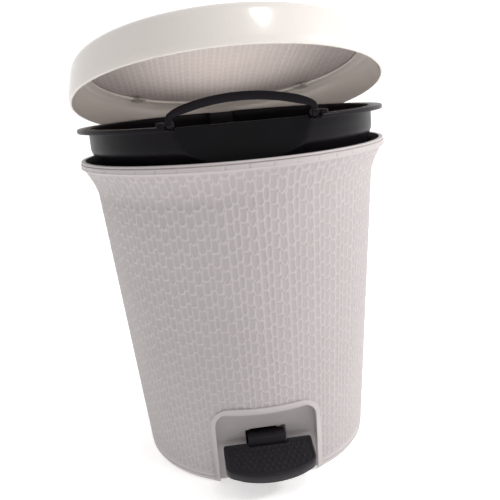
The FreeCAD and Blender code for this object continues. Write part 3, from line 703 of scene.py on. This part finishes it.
def bucket():
    """Turned bucket cut by the flat front face, the rod's groove and a flat at the rear."""
    columns = 720
    turn = np.arange(columns) / columns * 2 * math.pi
    sine, cosine = np.sin(turn), np.cos(turn)
    path = bucket_outline()
    inside = (np.arange(len(path)) > np.argmax(path[:, 1] > FLANGE_TOP - 0.01))[:, None]
    radius, z = [np.repeat(path[:, axis][:, None], columns, 1) for axis in (0, 1)]
    is_wall = radius > NEAR_AXIS
    thin = np.where(inside, BUCKET_WALL, 0.0)
    drop = FLANGE_TOP - z

    face = FACE_OUT - thin + drop * math.tan(FACE_LEAN)
    limit = np.where(cosine > 0.2, face / np.clip(cosine, 1e-3, None), FAR)
    limit = limit + np.clip((np.abs(radius * sine) - FACE_HALF) / 2.0, 0, 1) ** 2 * 60
    on_facet = is_wall & (limit < radius - 0.1) & ~inside
    radius = np.where(is_wall, smooth_min(radius, limit, 1.2), radius)

    behind = np.clip(-cosine, 1e-3, None)
    back = GROOVE_OUT - thin - drop * math.tan(GROOVE_LEAN)
    outside_half, inside_half = GROOVE_HALF
    half = np.where(inside, inside_half, outside_half)
    groove = np.where(cosine < -0.2, back / behind, FAR)
    groove = groove + np.clip((np.abs(radius * sine) - half) / 2.5, 0, 1) * 60
    radius = np.where(is_wall, smooth_min(radius, groove, 1.5), radius)
    radius = np.where(is_wall, np.minimum(radius, np.where(cosine < -0.2, REAR_OUT / behind, FAR)), radius)

    beside = np.abs(radius * sine)
    front_dip = FRONT_DIP * step_down(DIP_HALF - beside, 1.6) * (cosine > 0)
    eye_dip = EYE_DIP * step_down(DIP_HALF - beside, 1.4) * step_down(beside - EYE_FROM, 1.4) * (cosine > 0)
    share = np.clip((z - FLANGE_LOW) / (FLANGE_TOP - FLANGE_LOW), 0, 1)
    z = np.where(radius > NEAR_AXIS, z - share * (front_dip + eye_dip), z)

    points = np.stack([radius * sine, -radius * cosine, z], -1).reshape(-1, 3) * MM
    faces = ring_faces(len(path), columns, False)
    item = mesh_object("bucket_skin", points, faces.tolist(), BUCKET)
    # the flat front face takes the darker copy of the black, painted shade
    item.data.materials.append(FACET_PAINTED_SHADE)
    item.data.polygons.foreach_set("material_index", on_facet.ravel()[faces].all(1).astype(np.int32))
    with reworked(item) as work:
        bmesh.ops.remove_doubles(work, verts=work.verts, dist=2e-5)
        bmesh.ops.holes_fill(work, edges=work.edges, sides=400)
        bmesh.ops.recalc_face_normals(work, faces=work.faces)
    smooth(item.data)
    return item


attach(bucket(), "bucket", "bucket_black", "inner_bucket")


def handle_lugs():
    """Lugs beside the dip that carry the handle's pins."""
    for side, label in ((-1, "left"), (1, "right")):
        low, high = sorted((side * 56.2, side * 62.5))
        lug = rounded_box(f"handle_lug_{label}", [low, -118.9, FLANGE_TOP - 3],
                          [high, -110.4, FLANGE_TOP + 3.3], 2.2, BUCKET, 5)
        attach(lug, "bucket", "bucket_black")


handle_lugs()


# ------------------------------------------------------------------ handle
ARCH_RISE, ARCH_HALF, ARCH_BOW = 16.0, 46.0, 7.0   # crown above the pivots; half chord and bow of its circle
FEET_HALF = 53.0              # the feet stand so far to either side
STRAP_WIDE, STRAP_TAPER, FOOT_WIDE, STRAP_THICK = 6.4, 1.4, 4.8, 3.2
SECTION_POINTS, SQUARENESS = 24, 0.45     # 1 makes the strap's section an ellipse, 0 a rectangle


def handle_path():
    """Points (x, z above the pivots) from the left foot over the arch to the right foot."""
    circle = (ARCH_HALF ** 2 + ARCH_BOW ** 2) / (2 * ARCH_BOW)

    def arch(x):
        return math.sqrt(circle ** 2 - x * x) + ARCH_RISE - circle

    bend = FEET_HALF - 2.8
    left = [(-FEET_HALF, 0.0), (-FEET_HALF, 3.0), (0.6 - FEET_HALF, 6.0), (-bend, arch(bend) - 0.3)]
    middle = [(x, arch(x)) for x in np.linspace(6.5 - FEET_HALF, FEET_HALF - 6.5, 33)]
    return np.array(left + middle + [(-x, z) for x, z in left[::-1]])


def handle():
    """Strap swept along a low arch, its feet turned down to round eyes."""
    path = handle_path()
    along = np.gradient(path, axis=0)
    along /= np.linalg.norm(along, axis=1)[:, None]
    normals = np.stack([-along[:, 1], along[:, 0]], -1)
    share = np.clip(np.abs(path[:, 0]) / FEET_HALF, 0, 1)
    widths = STRAP_WIDE - STRAP_TAPER * np.clip((share - 0.80) / 0.14, 0, 1)
    widths = np.where(share > 0.97, FOOT_WIDE, widths)
    section = [[math.copysign(abs(wave(step / SECTION_POINTS * 2 * math.pi)) ** SQUARENESS,
                              wave(step / SECTION_POINTS * 2 * math.pi)) for wave in (math.cos, math.sin)]
               for step in range(SECTION_POINTS)]
    points = [(x + across * c * wide / 2, PIVOT_Y + s * STRAP_THICK / 2, PIVOT_Z + z + up * c * wide / 2)
              for (x, z), (across, up), wide in zip(path, normals, widths) for c, s in section]
    faces = ring_faces(len(path), SECTION_POINTS, False).tolist()
    strap = outward(mesh_object("handle_strap", np.array(points) * MM, faces, BUCKET), 40)
    for side, label in ((-1, "left"), (1, "right")):
        ring = eased([(2.1, -2.4, 0.4), (3.5, -2.4, 0.7), (3.5, 2.4, 0.7), (2.1, 2.4, 0.4)], 0.5)
        eye = revolve(f"handle_eye_{label}", ring, BUCKET, 48)
        eye.data.transform(Matrix.Translation(Vector((side * FEET_HALF * MM, PIVOT_Y * MM, PIVOT_Z * MM)))
                           @ Matrix.Rotation(math.radians(90), 4, "Y"))
        attach(eye, "handle", "bucket_black")
    return strap


attach(handle(), "handle", "bucket_black", "bucket_handle")


# ------------------------------------------------------------------ tread
TREAD_BACK, TREAD_TOP = -96.0, 37.0
TREAD_TILT = 16.0
TREAD_HALF, TREAD_DEPTH, TREAD_CORNER, TREAD_BOW = 38.0, 38.0, 6.0, 72.2
TREAD_SKIRT, TREAD_THICK = 9.0, 3.0
NOTCH_HALF, NOTCH_DEPTH = 16.5, 5.0
STUD_PITCH, STUD_ROW, STUD_R, STUD_RISE, STUD_SUNK = 5.0, 0.93, 1.5, 0.8, 0.65
STUD_FIRST_Y, STUD_EDGE = -103.5, 5.0


def tread_front(x, inset=0.0):
    """Y of the bowed front edge at x, in mm."""
    return TREAD_BACK - TREAD_DEPTH + TREAD_BOW - np.sqrt((TREAD_BOW - inset) ** 2 - np.square(x))


def tread_plan(inset):
    """Outline of the tread seen from above, moved in by inset, in mm."""
    half, back = TREAD_HALF - inset, TREAD_BACK - inset
    notch, shelf = NOTCH_HALF + inset, TREAD_BACK - NOTCH_DEPTH - inset
    outside, inside = max(2.6 - inset, 0.3), 0.8 + inset
    front = [(x, float(tread_front(x, inset)), 0) for x in np.linspace(half - 13, -half + 13, 25)]
    corner = (float(tread_front(half, inset)), max(TREAD_CORNER - inset, 1.0))
    outline = [(half, back, outside), (half, *corner), *front, (-half, *corner), (-half, back, outside)]
    outline += [(-notch, back, 0.6), (-notch, shelf, inside), (notch, shelf, inside), (notch, back, 0.6)]
    return eased(outline, 0.8, 5)


def tilt_tread(item):
    pivot = Vector((0, TREAD_BACK * MM, TREAD_TOP * MM))
    item.data.transform(Matrix.Translation(pivot) @ Matrix.Rotation(math.radians(TREAD_TILT), 4, "X")
                        @ Matrix.Translation(-pivot))
    return item


def tread():
    """Tray turned upside down: its layers run from inside the skirt, over the rounded edge, to a flat top."""
    top, foot = TREAD_TOP, TREAD_TOP - TREAD_SKIRT
    layers = [(2.2, top - TREAD_THICK), (2.2, foot + 0.3), (1.7, foot), (0.6, foot), (0.0, foot + 0.6),
              (0.0, top - 2.0), (0.25, top - 0.9), (0.9, top - 0.25), (1.5, top), (2.1, top),
              (2.6, top - 0.45), (3.4, top - 0.5)]
    loops = [tread_plan(inset) for inset, _ in layers]
    points = np.concatenate([np.column_stack([loop, np.full(len(loop), z)])
                             for loop, (_, z) in zip(loops, layers)])
    faces = ring_faces(len(layers), len(loops[0]), False).tolist()
    item = outward(mesh_object("pedal_tread_skin", points * MM, faces, BLACK), 500)
    shade_by_angle(item, 50)
    return tilt_tread(item)


attach(tread(), "pedal", "black_plastic", "pedal_tread")


def tread_studs():
    """Rows of low round studs on the tread, staggered."""
    work = bmesh.new()
    for row in range(6):
        y = STUD_FIRST_Y - row * STUD_PITCH * STUD_ROW
        for column in range(-8, 9):
            x = (column + (0.5 if row % 2 else 0)) * STUD_PITCH
            if abs(x) > TREAD_HALF - STUD_EDGE or y < float(tread_front(x)) + STUD_EDGE:
                continue
            stud = bmesh.ops.create_uvsphere(work, u_segments=12, v_segments=6, radius=1)
            for vertex in stud["verts"]:
                vertex.co = Vector(((x + vertex.co.x * STUD_R) * MM, (y + vertex.co.y * STUD_R) * MM,
                                    (TREAD_TOP - STUD_SUNK + vertex.co.z * STUD_RISE) * MM))
    return tilt_tread(object_from(work, "tread_studs", BLACK))


attach(tread_studs(), "pedal", "black_plastic")


def lever_neck():
    """Raised neck of the lever that nearly fills the slot behind the tread."""
    return rounded_box("lever_neck", [-16, -98.5, 29.5], [16, -86, 41.8], 0.6, BLACK)


attach(lever_neck(), "pedal", "black_plastic")


# ------------------------------------------------------------------ carried-over CAD nodes
FINISHES = {
    "rod_guides": SMOOTH, "bracket_screws": STEEL, "hinge_pin": STEEL, "pedal_axle": STEEL,
    "axle_clips": STEEL, "pedal_lever": BLACK, "tread_screws": STEEL, "push_rod": STEEL,
    "rod_shoe": BLACK, "rod_tip": BLACK, "arm_screws": STEEL, "handle_pins": BLACK,
}
for node, material in FINISHES.items():
    mesh = NODES[node].data
    if not mesh.materials:
        mesh.materials.append(material)
    for index in range(len(mesh.materials)):
        mesh.materials[index] = material


# ------------------------------------------------------------------ stage
def floor():
    material, nodes, links, shader = new_material("floor", (0.90, 0.90, 0.90), 0.9, 0.0)
    shader.inputs["Emission Color"].default_value = (1, 0.99, 0.985, 1)
    shader.inputs["Emission Strength"].default_value = 0.50
    links.new(ramp(nodes, links, noise(nodes, links, 3), (0.885, 0.885, 0.885), (0.91, 0.91, 0.91)),
              shader.inputs["Base Color"])
    size = 8
    item = mesh_object("floor", [(-size, -size, 0), (size, -size, 0), (size, size, 0), (-size, size, 0)],
                       [(0, 1, 2, 3)], material)


floor()


def studio_world():
    """Pale surroundings, brighter behind and to the right than in front and to the left."""
    world = bpy.data.worlds.new("studio")
    bpy.context.scene.world = world
    world.use_nodes = True
    nodes, links = world.node_tree.nodes, world.node_tree.links
    place = nodes.new("ShaderNodeTexCoord")
    lean = nodes.new("ShaderNodeVectorMath")
    lean.operation = "DOT_PRODUCT"
    lean.inputs[1].default_value = (0.27, 0.42, 0.05)
    level = nodes.new("ShaderNodeMath")
    level.operation = "ADD"
    level.inputs[1].default_value = 0.76
    links.new(place.outputs["Generated"], lean.inputs[0])
    links.new(lean.outputs["Value"], level.inputs[0])
    links.new(level.outputs["Value"], nodes["Background"].inputs["Strength"])
    nodes["Background"].inputs["Color"].default_value = (1.0, 0.99, 0.985, 1)


studio_world()


def area_light(name, place, target, size, power, colour=(1, 1, 1)):
    data = bpy.data.lights.new(name, "AREA")
    data.energy = power
    data.color = colour
    data.size = size
    data.shape = "DISK"
    item = linked(name, data)
    item.location = place
    direction = Vector(target) - Vector(place)
    item.rotation_mode = "QUATERNION"
    item.rotation_quaternion = direction.to_track_quat("-Z", "Y")
    item.visible_camera = False


area_light("key", (1.30, -0.45, 0.95), (0, 0, 0.2), 0.25, 9, (1, 0.985, 0.97))
area_light("window", (0.45, -0.65, 1.4), (0, 0, 0.3), 0.30, 2)
area_light("lid_bounce", (0, 0.01, 0.306), (0, 0.02, 0.5), 0.17, 0.12, (1, 0.93, 0.87))


# ------------------------------------------------------------------ camera
DISTANCE, AIM_SIDE, AIM_HEIGHT = 0.59195, 0.00424, 0.18378     # metres
AZIMUTH, ELEVATION, ROLL = math.radians(-5.07), math.radians(14.13), math.radians(-4.94)


def camera():
    flat = math.cos(ELEVATION)
    back = Vector((math.sin(AZIMUTH) * flat, -math.cos(AZIMUTH) * flat, math.sin(ELEVATION)))
    level = Vector((math.cos(AZIMUTH), math.sin(AZIMUTH), 0))
    rise = back.cross(level)
    right = math.cos(ROLL) * level + math.sin(ROLL) * rise
    up = -math.sin(ROLL) * level + math.cos(ROLL) * rise
    place = Vector((0, 0, AIM_HEIGHT)) + level * AIM_SIDE + back * DISTANCE
    data = bpy.data.cameras.new("camera")
    data.sensor_width = 36
    data.lens = 44.99
    data.shift_x = 0.00888
    data.shift_y = -0.00568
    data.clip_start = 0.01
    item = linked("camera", data)
    item.matrix_world = Matrix((
        (right.x, up.x, back.x, place.x), (right.y, up.y, back.y, place.y),
        (right.z, up.z, back.z, place.z), (0, 0, 0, 1)))
    bpy.context.scene.camera = item


camera()
bpy.context.scene.view_settings.view_transform = "Standard"
